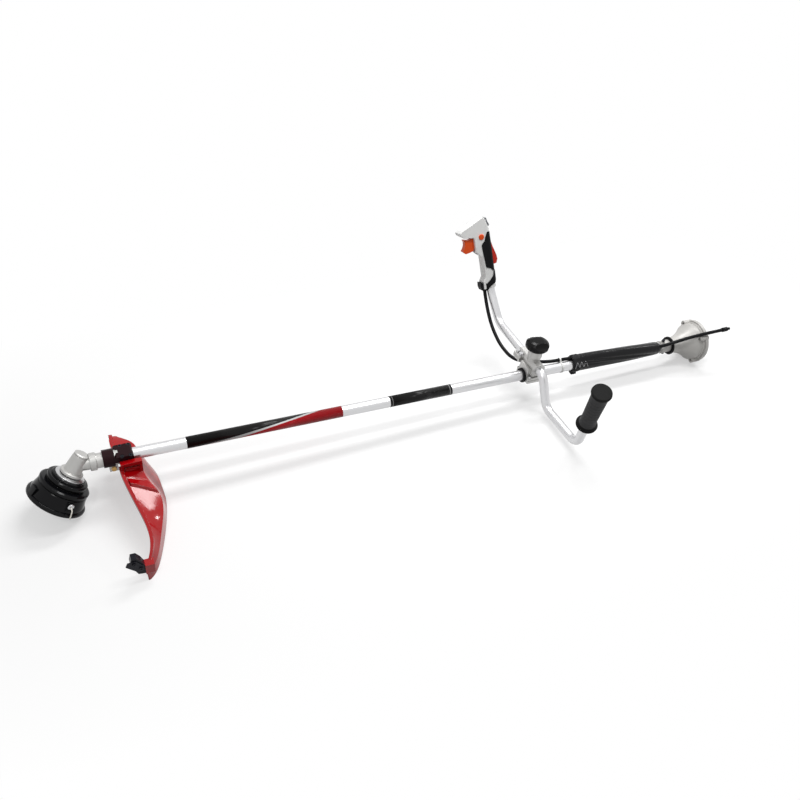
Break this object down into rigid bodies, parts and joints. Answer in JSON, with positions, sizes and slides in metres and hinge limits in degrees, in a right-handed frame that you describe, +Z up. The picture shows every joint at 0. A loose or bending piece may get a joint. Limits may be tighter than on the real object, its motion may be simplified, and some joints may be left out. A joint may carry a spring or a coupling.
{
  "type": "string trimmer drive-shaft assembly",
  "caption": "Straight-shaft string trimmer without its engine: bevel gear head with bump line head, guard, split handlebar with throttle grip, clutch housing.",
  "frame": {"origin": "centre of the clutch housing's engine face, on the shaft's axis", "axes": "+X along the shaft, rearward to the engine; +Y to the operator's right; +Z up"},
  "size_m": [1.7647, 0.606, 0.393],
  "materials": {
    "tube_silver": "satin",
    "cast_silver": "cast, lightly blasted",
    "steel": "zinc plated",
    "bronze": "sintered",
    "rubber_black": "matt",
    "guard_red": "gloss",
    "bracket_black": "satin",
    "head_black": "gloss",
    "line_pale": "satin",
    "handle_white": "satin",
    "trigger_orange": "satin",
    "lever_red": "satin",
    "switch_grey": "satin",
    "cable_black": "satin",
    "sleeve_black": "coated cloth",
    "tie_white": "satin"
  },
  "bodies": {
    "frame": {"shaft_tube": "tube_silver", "shaft_bushings": "bronze", "clutch_housing": "cast_silver", "housing_clamp_screws": "steel", "housing_damper_ring": "rubber_black", "drum_bearings": "steel", "drum_circlip": "steel", "gear_case": "cast_silver", "gear_clamp_bolt": "steel", "grease_plug": "steel", "pinion_bearings": "steel", "output_bearings": "steel", "output_seal": "rubber_black", "guard_bracket_upper": "bracket_black", "guard_bracket_lower": "bracket_black", "guard": "guard_red", "guard_bolts": "steel", "line_cutter_holder": "bracket_black", "line_cutter_blade": "steel", "cutter_screws": "steel", "bar_clamp_bolts": "steel", "clamp_ring": "rubber_black", "bar_clamp_lower": "cast_silver", "bar_clamp_saddle": "cast_silver", "bar_clamp_cap": "cast_silver", "knob_stud": "steel", "padded_sleeve": "sleeve_black", "sleeve_strap": "sleeve_black", "cable_ties": "tie_white", "throttle_cable_front": "cable_black", "throttle_cable_rear": "cable_black", "cable_end_fitting": "steel"},
    "drive": {"drive_shaft": "steel", "clutch_drum": "steel", "pinion": "steel"},
    "head": {"output_shaft": "steel", "bevel_gear": "steel", "head_adapter": "steel", "head_housing": "head_black", "head_cover": "head_black", "line_eyelets": "steel", "line_stubs": "line_pale", "spool_spring": "steel"},
    "spool": {"spool": "head_black", "line_winding": "line_pale", "bump_knob": "head_black"},
    "left_bar": {"handlebar_left": "tube_silver", "left_grip": "rubber_black"},
    "right_bar": {"handlebar_right": "tube_silver", "handle_shell_left": "handle_white", "handle_shell_right": "handle_white", "handle_screws": "steel", "handle_pins": "steel", "handle_pads": "rubber_black", "finger_stop": "bracket_black"},
    "trigger": {"throttle_trigger": "trigger_orange"},
    "lockout": {"lockout_lever": "lever_red"},
    "switch": {"stop_switch": "switch_grey"},
    "button": {"start_lock_button": "trigger_orange"},
    "knob": {"clamp_knob": "bracket_black"}
  },
  "joints": [
    {"name": "head_spin", "type": "hinge", "parent": "frame", "child": "head", "pos_m": [-1.6, 0, 0], "axis": [0.5878, 0.2094, 0.7815], "continuous": true},
    {"name": "drive_spin", "type": "hinge", "parent": "frame", "child": "drive", "pos_m": [-0.02, 0, 0], "axis": [1, 0, 0], "continuous": true},
    {"name": "spool_bump", "type": "slide", "parent": "head", "child": "spool", "axis": [0.5878, 0.2094, 0.7815], "range_m": [0, 0.006], "stiffness_N_per_m": 1500, "springref_m": -0.01, "deforming": ["spool_spring"]},
    {"name": "left_bar_tilt", "type": "hinge", "parent": "frame", "child": "left_bar", "pos_m": [-0.52, 0, 0.034], "axis": [-0.0175, 0.9998, 0], "range_deg": [-15, 15]},
    {"name": "right_bar_tilt", "type": "hinge", "parent": "frame", "child": "right_bar", "pos_m": [-0.52, 0, 0.034], "axis": [-0.0175, 0.9998, 0], "range_deg": [-15, 15], "deforming": ["throttle_cable_front"]},
    {"name": "trigger_pull", "type": "hinge", "parent": "right_bar", "child": "trigger", "pos_m": [-0.57806, 0.27914, 0.22917], "axis": [-0.035, -0.9305, 0.3645], "range_deg": [0, 14], "stiffness_Nm_per_rad": 0.4, "springref_deg": -20.05},
    {"name": "lockout_press", "type": "hinge", "parent": "right_bar", "child": "lockout", "pos_m": [-0.54515, 0.2764, 0.22534], "axis": [0.035, 0.9305, -0.3645], "range_deg": [0, 8], "stiffness_Nm_per_rad": 0.3, "springref_deg": -17.19},
    {"name": "stop_switch_rock", "type": "hinge", "parent": "right_bar", "child": "switch", "pos_m": [-0.5547, 0.29196, 0.26413], "axis": [-0.035, -0.9305, 0.3645], "range_deg": [-8, 8]},
    {"name": "start_button_press", "type": "slide", "parent": "right_bar", "child": "button", "axis": [0.035, 0.9305, -0.3645], "range_m": [0, 0.0025], "stiffness_N_per_m": 600, "springref_m": -0.003},
    {"name": "clamp_knob_turn", "type": "hinge", "parent": "frame", "child": "knob", "pos_m": [-0.52, 0, 0.09], "axis": [0, 0, 1], "range_deg": [0, 360]}
  ],
  "couplings": [
    {"joint": "drive_spin", "follows": "head_spin", "ratio": -1.3571}
  ]
}
